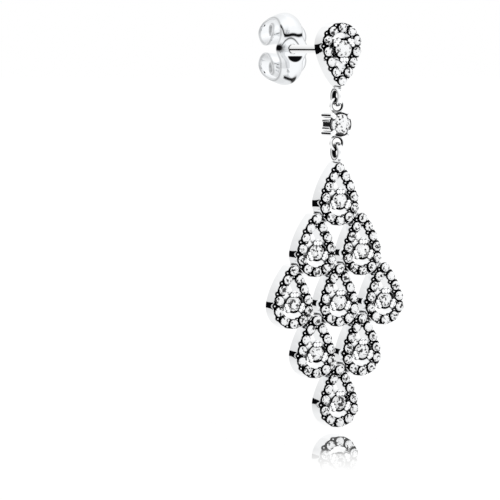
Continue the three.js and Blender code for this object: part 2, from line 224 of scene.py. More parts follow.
class StageSizes(bpy.types.PropertyGroup):
    """Camera and surroundings"""

    azimuth: angle_size("Azimuth", "How far to its left the earring is seen from", 27.58)
    elevation: angle_size("Elevation", "How far the camera looks down", 4.0)
    distance: length("Distance", "Camera to the earring's middle", 300.0)
    scale: number("Scale", "Picture pixels to a millimetre at that distance", 9.843)
    middle_height: length("Middle height", "Height of the point that the view is set by", -18.0)
    middle_pixel: FloatVectorProperty(
        name="Middle pixel",
        description="Where that point lies in the picture",
        size=2,
        default=(334.2, 226.7),
    )
    floor_gap: length("Floor gap", "Clearance of the floor under the earring", 0.37)
    floor_radius: length("Floor radius", "Radius of the white sheet", 3000.0)
    mirror: number("Mirror", "How much the floor mirrors under the earring", 0.92)
    mirror_reach: length("Mirror reach", "Where the floor's mirroring has faded out", 30.0)
    card_distance: length("Card distance", "Earring to the black card's middle", 205.5)
    card_azimuth: angle_size("Card azimuth", "How far left of straight behind the card stands", 31)
    card_middle: length("Card middle", "Height of the card's middle", -19.35)
    card_width: length("Card width", "Width of the card", 112.0)
    card_length: length("Card length", "Length of the card up its slope", 125.1)
    card_lean: angle_size("Card lean", "How far the card leans away from upright", 66.8)


class EarringSettings(bpy.types.PropertyGroup):
    """Every size and colour of the earring's looks"""

    pear: PointerProperty(type=PearSizes)
    stone: PointerProperty(type=StoneSizes)
    setting: PointerProperty(type=SettingSizes)
    link: PointerProperty(type=LinkSizes)
    post: PointerProperty(type=PostSizes)
    clutch: PointerProperty(type=ClutchSizes)
    colour: PointerProperty(type=FinishColours)
    stage: PointerProperty(type=StageSizes)


def settings():
    return bpy.context.scene.earring


def linear(colour):
    """An sRGB hex colour as linear RGBA."""
    values = [int(colour[i : i + 2], 16) / 255 for i in (1, 3, 5)]
    rgb = [v / 12.92 if v <= 0.04045 else ((v + 0.055) / 1.055) ** 2.4 for v in values]
    return (*rgb, 1.0)


def add_node(tree, kind, inputs=None, **options):
    """Adds a node and sets its options and inputs, by name or number.

    An input is linked where its value is a socket, or a node, which stands for its first output
    in use.
    """
    node = tree.nodes.new(kind)
    for option, value in options.items():
        setattr(node, option, value)
    for key, value in (inputs or {}).items():
        socket = node.inputs[key]
        if not socket.enabled:
            socket = next(s for s in node.inputs if s.name == key and s.enabled)
        if isinstance(value, bpy.types.Node):
            value = next(s for s in value.outputs if s.enabled)
        if isinstance(value, bpy.types.NodeSocket):
            tree.links.new(value, socket)
        else:
            socket.default_value = value
    return node


def new_material(name):
    """A material and its empty tree, or no tree where the material was made before."""
    material = bpy.data.materials.get(name)
    if material:
        return material, None
    material = bpy.data.materials.new(name)
    material.use_nodes = True
    material.node_tree.nodes.clear()
    return material, material.node_tree


def polished_silver(name="polished_sterling_silver", bright=None, recess_dark=1.0):
    """Buffed sterling silver, near-white, with dark painted in its cuts and recesses: painted
    shade, partly blackening.
    """
    material, tree = new_material(name)
    if tree is None:
        return material
    colour = settings().colour
    place = add_node(tree, "ShaderNodeTexCoord").outputs["Object"]
    # Buffing marks are about 0.02 mm wide; drawn at 0.25 mm so that they show as a soft unevenness
    fine = {"Vector": place, "Scale": 1 / (0.25 * MM), "Detail": 3}
    marks = add_node(tree, "ShaderNodeTexNoise", fine)
    gloss = add_node(tree, "ShaderNodeMapRange", {"Value": marks, "To Min": 0.02, "To Max": 0.06})
    # The wheel leaves broad low waves, which bend what the walls mirror
    swell = add_node(tree, "ShaderNodeTexNoise", {"Vector": place, "Scale": 1 / (1.2 * MM)})
    waves = {"Height": swell, "Strength": 0.06, "Distance": 0.05 * MM}
    bump = add_node(tree, "ShaderNodeBump", waves)
    # Dark from the marked points and from the closeness of surfaces: painted shade and reflection
    # in the cuts and between close surfaces, partly standing for blackening where the wheel can't
    # reach
    cut = add_node(tree, "ShaderNodeAttribute", attribute_name=SHADE_AND_BLACKENING).outputs["Fac"]
    reach = add_node(tree, "ShaderNodeAmbientOcclusion", {"Distance": 0.3 * MM}, samples=8)
    closeness = {"Value": reach.outputs["AO"], "From Min": 0.82, "From Max": 0.45}
    recess = add_node(tree, "ShaderNodeMapRange", closeness | {"To Max": recess_dark})
    dark = add_node(tree, "ShaderNodeMath", {0: cut, 1: recess}, operation="MAXIMUM")
    tones = {"Factor": dark, "A": linear(bright or colour.silver), "B": linear(colour.painted_shade_and_blackening)}
    tint = add_node(tree, "ShaderNodeMix", tones, data_type="RGBA")
    roughness = add_node(tree, "ShaderNodeMix", {"Factor": dark, "A": gloss, "B": 0.45})
    surface = {"Base Color": tint, "Metallic": 1.0, "Roughness": roughness, "Normal": bump}
    shader = add_node(tree, "ShaderNodeBsdfPrincipled", surface)
    add_node(tree, "ShaderNodeOutputMaterial", {"Surface": shader})
    return material


def clear_zirconia():
    """Cut and polished cubic zirconia, the light its facets return painted in its colour: bright
    facets, broken by some painted dark.
    """
    material, tree = new_material("cut_cubic_zirconia")
    if tree is None:
        return material
    colour = settings().colour
    place = add_node(tree, "ShaderNodeTexCoord").outputs["Object"]
    tone = add_node(tree, "ShaderNodeAttribute", attribute_name=FACET_TONE).outputs["Fac"]
    # What a facet returns from inside the stone is broken into flecks about 0.2 mm across
    flecks = add_node(tree, "ShaderNodeTexVoronoi", {"Vector": place, "Scale": 1 / (0.2 * MM)})
    broken = {"Color": flecks.outputs["Color"]}
    fleck = add_node(tree, "ShaderNodeSeparateColor", broken).outputs
    both = add_node(tree, "ShaderNodeMix", {"Factor": 0.65, "A": tone, "B": fleck["Red"]})
    fire = add_node(tree, "ShaderNodeValToRGB", {"Fac": both})
    stops = fire.color_ramp.elements
    stops[0].position, stops[0].color = 0.32, linear(colour.fire_low)
    stops[1].position, stops[1].color = 0.37, linear(colour.zirconia)
    polish = {"Value": fleck["Green"], "To Min": 0.0, "To Max": 0.05}
    gloss = add_node(tree, "ShaderNodeMapRange", polish)
    # The flecks stand for the inner mirroring, so little light goes through and the index is low
    surface = {"Base Color": fire, "Roughness": gloss, "IOR": 1.6, "Transmission Weight": 0.15}
    shader = add_node(tree, "ShaderNodeBsdfPrincipled", surface)
    add_node(tree, "ShaderNodeOutputMaterial", {"Surface": shader})
    return material


def object_from(bm, name, material=None, smooth=True):
    """A closed mesh object at the origin from a bmesh, with doubles merged and faces outwards."""
    bmesh.ops.remove_doubles(bm, verts=bm.verts, dist=MERGE_DISTANCE)
    bmesh.ops.recalc_face_normals(bm, faces=bm.faces)
    mesh = bpy.data.meshes.new(name)
    bm.to_mesh(mesh)
    bm.free()
    mesh.polygons.foreach_set("use_smooth", [smooth] * len(mesh.polygons))
    if smooth:
        mesh.set_sharp_from_angle(angle=SHARP_ANGLE)
    if material:
        mesh.materials.append(material)
    piece = bpy.data.objects.new(name, mesh)
    bpy.context.collection.objects.link(piece)
    return piece


def blackening(bm):
    """The layer that says how dark each point is painted: mostly painted shade, shadow and
    reflection, partly blackening.
    """
    return bm.verts.layers.float.get(SHADE_AND_BLACKENING) or bm.verts.layers.float.new(SHADE_AND_BLACKENING)


def blacken(bm, first, value=1.0):
    """Paints the points that were added after the first ones dark: painted shade, shadow and
    reflection.
    """
    layer = blackening(bm)
    bm.verts.ensure_lookup_table()
    for vertex in bm.verts[first:]:
        vertex[layer] = value


def loft(bm, rings, closed=False, shades=None):
    """Quads between rings of equally many points; open ends are capped. Shades say how dark points
    are painted.
    """
    layer = blackening(bm) if shades else None
    rows = [[bm.verts.new(point) for point in ring] for ring in rings]
    for row, values in zip(rows, shades or []):
        for vertex, value in zip(row, values):
            vertex[layer] = value
    count = len(rows[0])
    for low, high in zip(rows, rows[1:] + (rows[:1] if closed else [])):
        for i in range(count):
            j = (i + 1) % count
            bm.faces.new((low[i], low[j], high[j], high[i]))
    if not closed:
        bm.faces.new(rows[0])
        bm.faces.new(rows[-1])


def blend(value, low, high):
    """0 below low, 1 above high, smooth between; low may be the larger."""
    share = min(max((value - low) / (high - low), 0.0), 1.0)
    return share * share * (3 - 2 * share)


def pear_arcs(pear):
    """The outline's arcs from the tip down its left side and round: centre, radius, angles."""
    taper = pear.round_radius - pear.tip_radius
    rise, shoulder = pear.tip_rise, pear.shoulder
    reach = (rise**2 - taper**2) / (2 * (taper - rise * sin(shoulder)))
    side = Vector((reach * cos(shoulder), -reach * sin(shoulder)))
    meet = atan2(rise - side.y, side.x)
    tip, right = Vector((0, rise)), Vector((-side.x, side.y))
    long_radius = pear.round_radius + reach
    return [
        (tip, pear.tip_radius, pi / 2, pi - meet, TIP_STEPS),
        (side, long_radius, pi - meet, pi - shoulder, SIDE_STEPS),
        (Vector((0, 0)), pear.round_radius, pi - shoulder, tau + shoulder, ROUND_STEPS),
        (right, long_radius, shoulder, meet, SIDE_STEPS),
        (tip, pear.tip_radius, meet, pi / 2, TIP_STEPS),
    ], side, long_radius


def pear_samples(pear):
    """Points round the band: arc centre, direction, outer radius, and distance along the middle."""
    samples = []
    walked = 0.0
    for centre, radius, start, end, steps in pear_arcs(pear)[0]:
        middle = max(radius - pear.band / 2, 0)
        for i in range(steps):
            turn = start + (end - start) * i / steps
            direction = Vector((cos(turn), sin(turn)))
            along = walked + middle * (end - start) * i / steps
            samples.append((centre, direction, radius, along))
        walked += middle * (end - start)
    return samples, walked


def pear_point(pear, sample, inset):
    """Where a sample lies when moved inwards; past the tip's radius the sides meet in a point."""
    centre, direction, radius, _ = sample
    _, side, long_radius = pear_arcs(pear)
    point = centre + direction * (radius - inset)
    if inset > pear.tip_radius:
        left_half = direction.x < -1e-9
        crossed = point.x > 0 if left_half else point.x < 0
        if (crossed or centre.y > 0) and point.y > 0:
            point = Vector((0, side.y + sqrt((long_radius - inset) ** 2 - side.x**2)))
    return point


def gap_share(pear, along, whole):
    """0 beside a small stone, 1 halfway between two; a cut takes up half of their distance."""
    phase = (along / whole * pear.stones) % 1
    reach = min(abs(phase - 0.5) / 0.25, 1)
    return 0.5 + 0.5 * cos(reach * pi)


def band_section(pear, gap):
    """Half a section, from back corner over wall and rim to the bed: inset, Y, and how dark it is
    painted.
    """
    top, floor = -pear.depth, -pear.depth + pear.bed
    crest = top + pear.notch * gap
    lean, drawn = pear.draft, pear.notch_inset * gap
    return [
        (pear.edge, 0.0, 0.0),
        (0.0, -pear.edge, 0.0),
        # The wall leans in more and more towards the rim
        (0.08 * lean, 0.3 * crest, 0.0),
        (0.3 * lean, 0.55 * crest, 0.0),
        (0.64 * lean, 0.8 * crest, 0.0),
        (0.85 * lean + 0.2 * drawn, 0.93 * crest, 0.0),
        # Notch and bed are painted dark: painted shade between and round the stones, partly
        # blackening in the cuts
        (lean + drawn, crest, 0.8 * gap),
        (pear.rim, crest, gap),
        (pear.rim + 0.01 * MM, crest + 0.04 * MM, 1.0),
        (pear.rim + 0.02 * MM, floor, 1.0),
    ]


def pear_band(pear):
    """One pear band, back face at Y = 0, with rims, cut notches and a bed, these two painted dark:
    painted shade, partly blackening.
    """
    samples, whole = pear_samples(pear)
    rings, shades = [], []
    for sample in samples:
        half = band_section(pear, gap_share(pear, sample[3], whole))
        section = half + [(pear.band - inset, y, dark) for inset, y, dark in reversed(half)]
        points = [pear_point(pear, sample, inset) for inset, _, _ in section]
        rings.append([Vector((p.x, row[1], p.y)) for p, row in zip(points, section)])
        shades.append([row[2] for row in section])
    bm = bmesh.new()
    loft(bm, rings, closed=True, shades=shades)
    return object_from(bm, "pear_band")


def middle_line(pear, places, flipped=False):
    """A curve object with one closed line along the middle of each pear's band."""
    curve = bpy.data.curves.new("band_middle", "CURVE")
    curve.dimensions = "3D"
    samples, _ = pear_samples(pear)
    for place in places:
        spline = curve.splines.new("POLY")
        spline.points.add(len(samples) - 1)
        spline.use_cyclic_u = True
        for target, sample in zip(spline.points, samples):
            point = pear_point(pear, sample, pear.band / 2)
            if flipped:
                point = -point
            target.co = (place.x + point.x, place.y - pear.depth, place.z + point.y, 1)
    path = bpy.data.objects.new("band_middle", curve)
    bpy.context.collection.objects.link(path)
    return path


def brilliant(diameter, stone, name="brilliant"):
    """A round brilliant facing -Y with its girdle's middle at the origin."""
    half_girdle = stone.girdle * diameter / 2
    crown = half_girdle + stone.crown * diameter
    star = half_girdle + stone.crown * diameter * stone.star_share
    lower = -half_girdle - stone.pavilion * diameter * stone.halves_share
    bm = bmesh.new()

    def ring(share, height, count, turn):
        """Points on a circle whose radius is a share of the stone's."""
        radius = share * diameter / 2
        angles = [tau * (i + turn) / count for i in range(count)]
        return [bm.verts.new((radius * cos(a), -height, radius * sin(a))) for a in angles]

    table = ring(stone.table, crown, 8, 0.5)
    stars = ring(stone.star_width, star, 8, 0.0)
    upper = ring(1.0, half_girdle, 16, 0.0)
    under = ring(1.0, -half_girdle, 16, 0.0)
    halves = ring(stone.halves_width, lower, 8, 0.5)
    culet = bm.verts.new((0, half_girdle + stone.pavilion * diameter, 0))
    bm.faces.new(table)
    for i in range(8):
        bm.faces.new((table[i - 1], table[i], stars[i]))
        bm.faces.new((stars[i], table[i], stars[(i + 1) % 8], upper[2 * i + 1]))
        bm.faces.new((stars[i], upper[2 * i + 1], upper[2 * i]))
        bm.faces.new((stars[i], upper[2 * i], upper[2 * i - 1]))
        bm.faces.new((culet, halves[i - 1], under[2 * i], halves[i]))
        bm.faces.new((under[2 * i], under[2 * i + 1], halves[i]))
        bm.faces.new((under[2 * i + 1], under[(2 * i + 2) % 16], halves[i]))
    for i in range(16):
        j = (i + 1) % 16
        bm.faces.new((upper[i], upper[j], under[j], under[i]))
    return object_from(bm, name, smooth=False)


def ball(bm, centre, size, rings=10, segments=16):
    """An ellipsoid whose full sizes are given, as a closed part of the bmesh."""
    place = Matrix.Translation(centre) @ Matrix.Diagonal((*(s / 2 for s in size), 1))
    bmesh.ops.create_uvsphere(bm, u_segments=segments, v_segments=rings, radius=1, matrix=place)


def rounded_box(bm, corner, opposite, edge, segments=3):
    """A box between two opposite corners, with rounded edges."""
    low, high = (Vector([pick(pair) for pair in zip(corner, opposite)]) for pick in (min, max))
    part = bmesh.new()
    place = Matrix.Translation((low + high) / 2) @ Matrix.Diagonal((*(high - low), 1))
    bmesh.ops.create_cube(part, size=1, matrix=place)
    every = part.edges[:] + part.verts[:]
    bmesh.ops.bevel(part, geom=every, offset=edge, segments=segments, profile=0.5, affect="EDGES")
    mesh = bpy.data.meshes.new("part")
    part.to_mesh(mesh)
    part.free()
    bm.from_mesh(mesh)
    bpy.data.meshes.remove(mesh)


def turned(bm, profile, centre, segments=32):
    """A turned form on an axis along Y: points are radius and distance forward."""
    rings = []
    for i in range(segments):
        angle = tau * i / segments
        across = Vector((cos(angle), 0, sin(angle)))
        rings.append([centre + across * r + Vector((0, -forward, 0)) for r, forward in profile])
    loft(bm, rings, closed=True)


def torus(bm, centre, radius, wire, axis, shade_and_tarnish_level, around=64, sides=16):
    """A round wire loop about an axis, its inside painted dark from the given level inwards: partly
    tarnish, partly painted shade and reflection.
    """
    first = axis.orthogonal().normalized()
    second = axis.cross(first)
    angles = [tau * j / sides for j in range(sides)]
    rings = []
    for i in range(around):
        turn = tau * i / around
        out = first * cos(turn) + second * sin(turn)
        section = [out * cos(angle) + axis * sin(angle) for angle in angles]
        rings.append([centre + out * radius + off * wire / 2 for off in section])
    # Painted shade and reflection on the inside of the loop, partly tarnish
    inside = [blend(cos(angle), shade_and_tarnish_level, shade_and_tarnish_level - SHADE_AND_TARNISH_FADE) for angle in angles]
    loft(bm, rings, closed=True, shades=[inside] * around)


def claw_head(bm, stone_radius, angle, centre, sizes, depth):
    """A claw head of three beads over the stone's edge, on a stem that runs back."""
    reach, width = sizes.claw_reach, sizes.claw_width
    out = Vector((cos(angle), 0, sin(angle)))
    aside = Vector((-out.z, 0, out.x))
    away = stone_radius - sizes.claw_lap + reach / 2
    middle = centre + out * away + Vector((0, -0.12 * MM, 0))
    turn = Matrix.Rotation(-angle, 4, "Y")

    def bead(place, size, segments):
        matrix = Matrix.Translation(place) @ turn @ Matrix.Diagonal((*size, 1))
        bmesh.ops.create_uvsphere(bm, u_segments=segments, v_segments=8, radius=1, matrix=matrix)

    bead_depth, bead_width = 0.16 * MM, 0.22 * width
    # Each bead's place across the claw, and its length
    for place, share in ((-0.32, 0.85), (0.0, 1.0), (0.32, 0.85)):
        size = (share * reach / 2, bead_depth, bead_width)
        bead(middle + aside * place * width, size, 12)
    # A dark disc behind the beads, a little larger than them, is painted shadow round the claw
    first = len(bm.verts)
    shadow_disc = (reach / 2 + 0.09 * MM, 0.1 * MM, width / 2 + 0.1 * MM)
    bead(middle + Vector((0, 0.12 * MM, 0)), shadow_disc, 16)
    blacken(bm, first)
    profile = [(0.0, -depth), (0.24 * MM, -depth), (0.27 * MM, 0.08 * MM), (0.0, 0.08 * MM)]
    turned(bm, profile, centre + out * (stone_radius + 0.3 * MM), 16)


def stone_setting(diameter, centre, angles, sizes, depth):
    """Collet and claws of one centre stone whose girdle's middle is at centre."""
    radius = diameter / 2 + sizes.collet_rim
    inner = radius - sizes.collet_wall
    bm = bmesh.new()
    wall = [
        (inner * 0.8, -depth),
        (radius * 0.88, -depth),
        (radius, -0.12 * MM),
        (radius - 0.02 * MM, -0.07 * MM),
        (inner, -0.34 * MM),
    ]
    turned(bm, wall, centre, 40)
    # The seat is a ring painted dark round the stone: painted shadow between stone and collet
    seat = [
        (inner - 0.01 * MM, -0.4 * MM),
        (radius - 0.06 * MM, -0.13 * MM),
        (radius - 0.05 * MM, -0.05 * MM),
        (inner, -0.3 * MM),
    ]
    first = len(bm.verts)
    turned(bm, seat, centre, 40)
    blacken(bm, first)
    for angle in angles:
        claw_head(bm, diameter / 2, radians(angle), centre, sizes, depth)
    return object_from(bm, "stone_setting")


def new_tree(name, inputs):
    """A Geometry Nodes tree that keeps its inputs' identifiers by name, and its input sockets."""
    tree = bpy.data.node_groups.new(name, "GeometryNodeTree")
    tree.interface.new_socket("Geometry", in_out="INPUT", socket_type="NodeSocketGeometry")
    tree.interface.new_socket("Geometry", in_out="OUTPUT", socket_type="NodeSocketGeometry")
    names = {}
    for label, kind in inputs.items():
        socket = tree.interface.new_socket(label, in_out="INPUT", socket_type="NodeSocket" + kind)
        names[label] = socket.identifier
    tree["identifiers"] = names
    return tree, add_node(tree, "NodeGroupInput").outputs


def along_bands_tree():
    """Copies of a piece at even steps along closed lines, every second place, moved sideways."""
    inputs = {"Lines": "Object", "Piece": "Object", "Places": "Int", "Skip": "Int"}
    inputs |= {"Sideways": "Float", "Lift": "Float", "Spin Seed": "Int", "Material": "Material"}
    tree, given = new_tree("along_bands_tree", inputs)
    lines = add_node(tree, "GeometryNodeObjectInfo", {"Object": given["Lines"]})
    piece = add_node(tree, "GeometryNodeObjectInfo", {"Object": given["Piece"]})
    evenly = {"Curve": lines.outputs["Geometry"], "Count": given["Places"]}
    steps = add_node(tree, "GeometryNodeResampleCurve", evenly)
    crossed = {0: add_node(tree, "GeometryNodeInputTangent"), 1: (0.0, 1.0, 0.0)}
    across = add_node(tree, "ShaderNodeVectorMath", crossed, operation="CROSS_PRODUCT")
    scaled = {0: across, "Scale": given["Sideways"]}
    aside = add_node(tree, "ShaderNodeVectorMath", scaled, operation="SCALE")
    lift = add_node(tree, "ShaderNodeCombineXYZ", {"Y": given["Lift"]})
    shift = add_node(tree, "ShaderNodeVectorMath", {0: aside, 1: lift}, operation="ADD")
    moved = add_node(tree, "GeometryNodeSetPosition", {"Geometry": steps, "Offset": shift})
    index = add_node(tree, "GeometryNodeInputIndex")
    parity = add_node(tree, "ShaderNodeMath", {0: index, 1: 2.0}, operation="MODULO")
    same = {0: parity, 1: given["Skip"]}
    chosen = add_node(tree, "FunctionNodeCompare", same, data_type="FLOAT", operation="EQUAL")
    turns = {0: (0.0, 0.0, 0.0), 1: (0.0, tau, 0.0), "Seed": given["Spin Seed"]}
    spin = add_node(tree, "FunctionNodeRandomValue", turns, data_type="FLOAT_VECTOR")
    copied = {"Points": moved, "Selection": chosen, "Rotation": spin}
    finish_tree(tree, copied, piece, given)
    return tree


def at_places_tree():
    """Copies of a piece at the points of a mesh."""
    tree, given = new_tree("at_places_tree", {"Piece": "Object", "Material": "Material"})
    piece = add_node(tree, "GeometryNodeObjectInfo", {"Object": given["Piece"]})
    finish_tree(tree, {"Points": given["Geometry"]}, piece, given)
    return tree


def finish_tree(tree, copied, piece, given):
    """Ends a tree: copies made real, each face given a tone, and all their material."""
    copied = copied | {"Instance": piece.outputs["Geometry"]}
    copies = add_node(tree, "GeometryNodeInstanceOnPoints", copied)
    real = add_node(tree, "GeometryNodeRealizeInstances", {"Geometry": copies})
    tone = add_node(tree, "FunctionNodeRandomValue", {"Seed": 11}, data_type="FLOAT")
    toned = add_node(
        tree,
        "GeometryNodeStoreNamedAttribute",
        {"Geometry": real, "Name": FACET_TONE, "Value": tone},
        data_type="FLOAT",
        domain="FACE",
    )
    finish = {"Geometry": toned, "Material": given["Material"]}
    dressed = add_node(tree, "GeometryNodeSetMaterial", finish)
    add_node(tree, "NodeGroupOutput", {"Geometry": dressed})


def run_tree(name, builder, points, values):
    """Runs a tree on a mesh of points and gives the plain mesh it makes; the piece is removed."""
    tree = bpy.data.node_groups.get(builder.__name__) or builder()
    mesh = bpy.data.meshes.new(name)
    mesh.from_pydata(points, [], [])
    host = bpy.data.objects.new(name, mesh)
    bpy.context.collection.objects.link(host)
    modifier = host.modifiers.new(name, "NODES")
    modifier.node_group = tree
    for label, value in values.items():
        modifier[tree["identifiers"][label]] = value
    depsgraph = bpy.context.evaluated_depsgraph_get()
    result = bpy.data.meshes.new_from_object(host.evaluated_get(depsgraph))
    host.modifiers.remove(modifier)
    host.data = result
    bpy.data.meshes.remove(mesh)
    result.name = name
    bpy.data.objects.remove(values["Piece"])
    return host


def at_places(name, piece, places, material):
    return run_tree(name, at_places_tree, places, {"Piece": piece, "Material": material})


def cut_stones(name, diameter, places):
    """Round brilliants of one size at the places."""
    return at_places(name, brilliant(diameter, settings().stone), places, clear_zirconia())


def along_bands(name, piece, path, skip, sideways, lift, material):
    """Copies of a piece along the bands' middle lines; every second step is a stone's place."""
    values = {
        "Lines": path,
        "Piece": piece,
        "Places": 2 * settings().pear.stones,
        "Skip": skip,
        "Sideways": sideways,
        "Lift": lift,
        "Spin Seed": 7,
        "Material": material,
    }
    return run_tree(name, along_bands_tree, [(0, 0, 0)], values)


def solid_box(node):
    """Lowest and highest corner of a node's solid at rest."""
    return [Vector(corner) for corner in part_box(node)]


def stone_middle(node):
    """Middle of a round stone's solid with its girdle's height in Y, and its diameter."""
    low, high = solid_box(node)
    stone = settings().stone
    diameter = high.x - low.x
    girdle = low.y + (stone.crown + stone.girdle / 2) * diameter
    return Vector(((low.x + high.x) / 2, girdle, (low.z + high.z) / 2)), diameter


def drop_back():
    """Y of the back face of the drop's bands: the stones' girdles stand a known way before it."""
    middle, diameter = stone_middle(DROP_STONES[0])
    stand = settings().setting.stone_stand - settings().stone.girdle / 2 * diameter
    return middle.y + settings().pear.depth + stand


def drop_pears():
    """Round-end centres of the drop's pears, at the back face of the frame."""
    back, offset = drop_back(), settings().setting.drop_offset
    middles = [stone_middle(node)[0] for node in DROP_STONES]
    return [Vector((middle.x, back, middle.z - offset)) for middle in middles]


def stud_place():
    """Round-end centre of the stud's pear, at its back face."""
    middle, _ = stone_middle("stud_stone")
    return Vector((0, 0, middle.z + settings().setting.stud_offset))


def band_pieces(body, places, flipped):
    """Bands, small stones and bead prongs of one body's pears; the bands come first."""
    pear = settings().pear
    silver = polished_silver()
    unit = pear_band(pear)
    if flipped:
        unit.data.transform(Matrix.Rotation(pi, 4, "Y"))
    bands = at_places(f"{body}_bands", unit, places, silver)
    path = middle_line(pear, places, flipped)
    small = brilliant(pear.stone, settings().stone, "small_stone")
    name, rise = f"{body}_small_stones", -pear.stone_rise
    made = [bands, along_bands(name, small, path, 0, 0.0, rise, clear_zirconia())]
    for side, label in ((1, "outer"), (-1, "inner")):
        bm = bmesh.new()
        ball(bm, ORIGIN, [pear.bead] * 3, 6, 10)
        bead = object_from(bm, "bead")
        name, offset = f"{body}_{label}_beads", side * pear.bead_offset
        made.append(along_bands(name, bead, path, 1, offset, pear.bead_sink, silver))
    bpy.data.objects.remove(path)
    for piece in made:
        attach(piece, body)
    return made


class EARRING_OT_drop_bands(bpy.types.Operator):
    """Pavé bands of the drop, with beds, small stones and beads"""

    bl_idname = "earring.drop_bands"
    bl_label = "Drop bands"

    def execute(self, context):
        made = band_pieces("drop", drop_pears(), False)
        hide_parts("drop_frame")
        return {"FINISHED"}


class EARRING_OT_stud_bands(bpy.types.Operator):
    """Pavé band of the stud, with bed, small stones and beads"""

    bl_idname = "earring.stud_bands"
    bl_label = "Stud band"

    def execute(self, context):
        made = band_pieces("stud", [stud_place()], True)
        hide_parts("stud_frame_with_post")
        return {"FINISHED"}


class EARRING_OT_drop_settings(bpy.types.Operator):
    """Collets, claws, centre stones and solder of the drop"""

    bl_idname = "earring.drop_settings"
    bl_label = "Drop settings"

    def execute(self, context):
        sizes = settings().setting
        middles = [stone_middle(node)[0] for node in DROP_STONES]
        diameter = stone_middle(DROP_STONES[0])[1]
        unit = stone_setting(diameter, ORIGIN, DROP_CLAWS, sizes, sizes.collet_depth)
        mounted = at_places("drop_settings", unit, middles, polished_silver())
        stones = cut_stones("drop_centre_stones", diameter, middles)
        solder = solder_joints()
        for piece in (mounted, stones, solder):
            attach(piece, "drop")
        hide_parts(*DROP_STONES)
        return {"FINISHED"}


def solder_joints():
    """Short fillets where a pear's tip meets the round ends above it."""
    pear = settings().pear
    places = drop_pears()
    touching = 0.3 * MM
    profile = [
        (0.0, 0.12 * MM),
        (0.26 * MM, 0.12 * MM),
        (0.3 * MM, 0.2 * MM),
        (0.3 * MM, pear.depth - 0.25 * MM),
        (0.2 * MM, pear.depth - 0.18 * MM),
        (0.0, pear.depth - 0.16 * MM),
    ]
    bm = bmesh.new()
    for upper in places:
        for lower in places:
            apart = lower + Vector((0, 0, pear.tip_rise)) - upper
            gap = apart.length - pear.round_radius - pear.tip_radius
            if apart.z < 0 and abs(gap) < touching:
                middle = upper + apart.normalized() * (pear.round_radius + gap / 2)
                turned(bm, profile, middle, 16)
    return object_from(bm, "drop_solder", polished_silver())


class EARRING_OT_stud_setting(bpy.types.Operator):
    """Setting and stone of the stud, the bridge behind it and the post"""

    bl_idname = "earring.stud_setting"
    bl_label = "Stud setting"

    def execute(self, context):
        sizes = settings().setting
        middle, diameter = stone_middle("stud_stone")
        silver = polished_silver()
        # The collet ends a little before the back face
        depth = -middle.y - 0.2 * MM
        mounted = stone_setting(diameter, middle, STUD_CLAWS, sizes, depth)
        mounted.name = "stud_setting"
        mounted.data.materials.append(silver)
        stone = cut_stones("stud_centre_stone", diameter, [middle])
        for piece in (mounted, stone, stud_bridge(silver), stud_post(silver)):
            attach(piece, "stud")
        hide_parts("stud_stone")
        return {"FINISHED"}


def stud_bridge(silver):
    """Bar across the stud's opening, which carries the post, painted dark: painted shade in the
    opening.
    """
    pear = settings().pear
    half = pear.round_radius - pear.band / 2
    bm = bmesh.new()
    rounded_box(bm, (-half, -0.5 * MM, -0.75 * MM), (half, -0.02 * MM, 0.75 * MM), 0.08 * MM)
    # Painted shade: the bar is painted nearly black
    blacken(bm, 0, 0.9)
    return object_from(bm, "stud_bridge", silver)


def stud_post(silver):
    """Round post with a grip groove near its rounded end."""
    post = settings().post
    end = solid_box("stud_frame_with_post")[1].y
    radius, foot = post.diameter / 2, post.foot / 2
    groove = -end + post.groove_place
    profile = [(0.0, 0.3 * MM), (foot, 0.3 * MM), (foot, 0.02 * MM), (radius, -0.12 * MM)]
    # Rings close to the foot and the groove keep the sides straight in the shading
    profile += [(radius, -0.17 * MM), (radius, groove + 0.3 * MM), (radius, groove + 0.25 * MM)]
    profile += [(radius * 0.82, groove), (radius, groove - 0.25 * MM), (radius, groove - 0.3 * MM)]
    for i in range(7):
        turn = i / 6 * pi / 2
        forward = -(end - post.rounding + post.rounding * sin(turn))
        profile.append((radius - post.rounding + post.rounding * cos(turn), forward))
    profile.append((0.0, -end))
    bm = bmesh.new()
    turned(bm, profile, ORIGIN)
    return object_from(bm, "post", silver)


class EARRING_OT_links(bpy.types.Operator):
    """Wire bails of the stud and the drop"""

    bl_idname = "earring.links"
    bl_label = "Bails"

    def execute(self, context):
        link = settings().link
        silver = polished_silver()
        reach = link.bail_radius + link.bail_wire / 2
        stud_bail = bail("stud_bail", solid_box("stud_frame_with_post")[0].z + reach, -1, silver)
        drop_bail = bail("drop_bail", solid_box("drop_frame")[1].z - reach, 1, silver)
        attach(stud_bail, "stud")
        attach(drop_bail, "drop")
        return {"FINISHED"}


def bail(name, z, side, silver):
    """A round wire loop seen edge-on from the front, with its foot spread on the pear's tip."""
    link = settings().link
    centre = Vector((0, link.plane, z))
    bm = bmesh.new()
    torus(bm, centre, link.bail_radius, link.bail_wire, Vector((1, 0, 0)), link.bail_worn)
    foot = centre + Vector((0, -0.1 * MM, -side * (link.bail_radius + 0.12 * MM)))
    ball(bm, foot, (0.72 * MM, 1.1 * MM, 0.5 * MM), 10, 20)
    return object_from(bm, name, silver)


class EARRING_OT_connector(bpy.types.Operator):
    """Square basket with claws, cup, galleries, rings and its stone"""

    bl_idname = "earring.connector"
    bl_label = "Connector"

    def execute(self, context):
        basket = connector_basket(polished_silver())
        middle, diameter = stone_middle("connector_stone")
        stone = cut_stones("connector_cut_stone", diameter, [middle])
        for piece in (basket, stone):
            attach(piece, "connector")
        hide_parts("connector_setting")
        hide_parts("connector_stone")
        return {"FINISHED"}


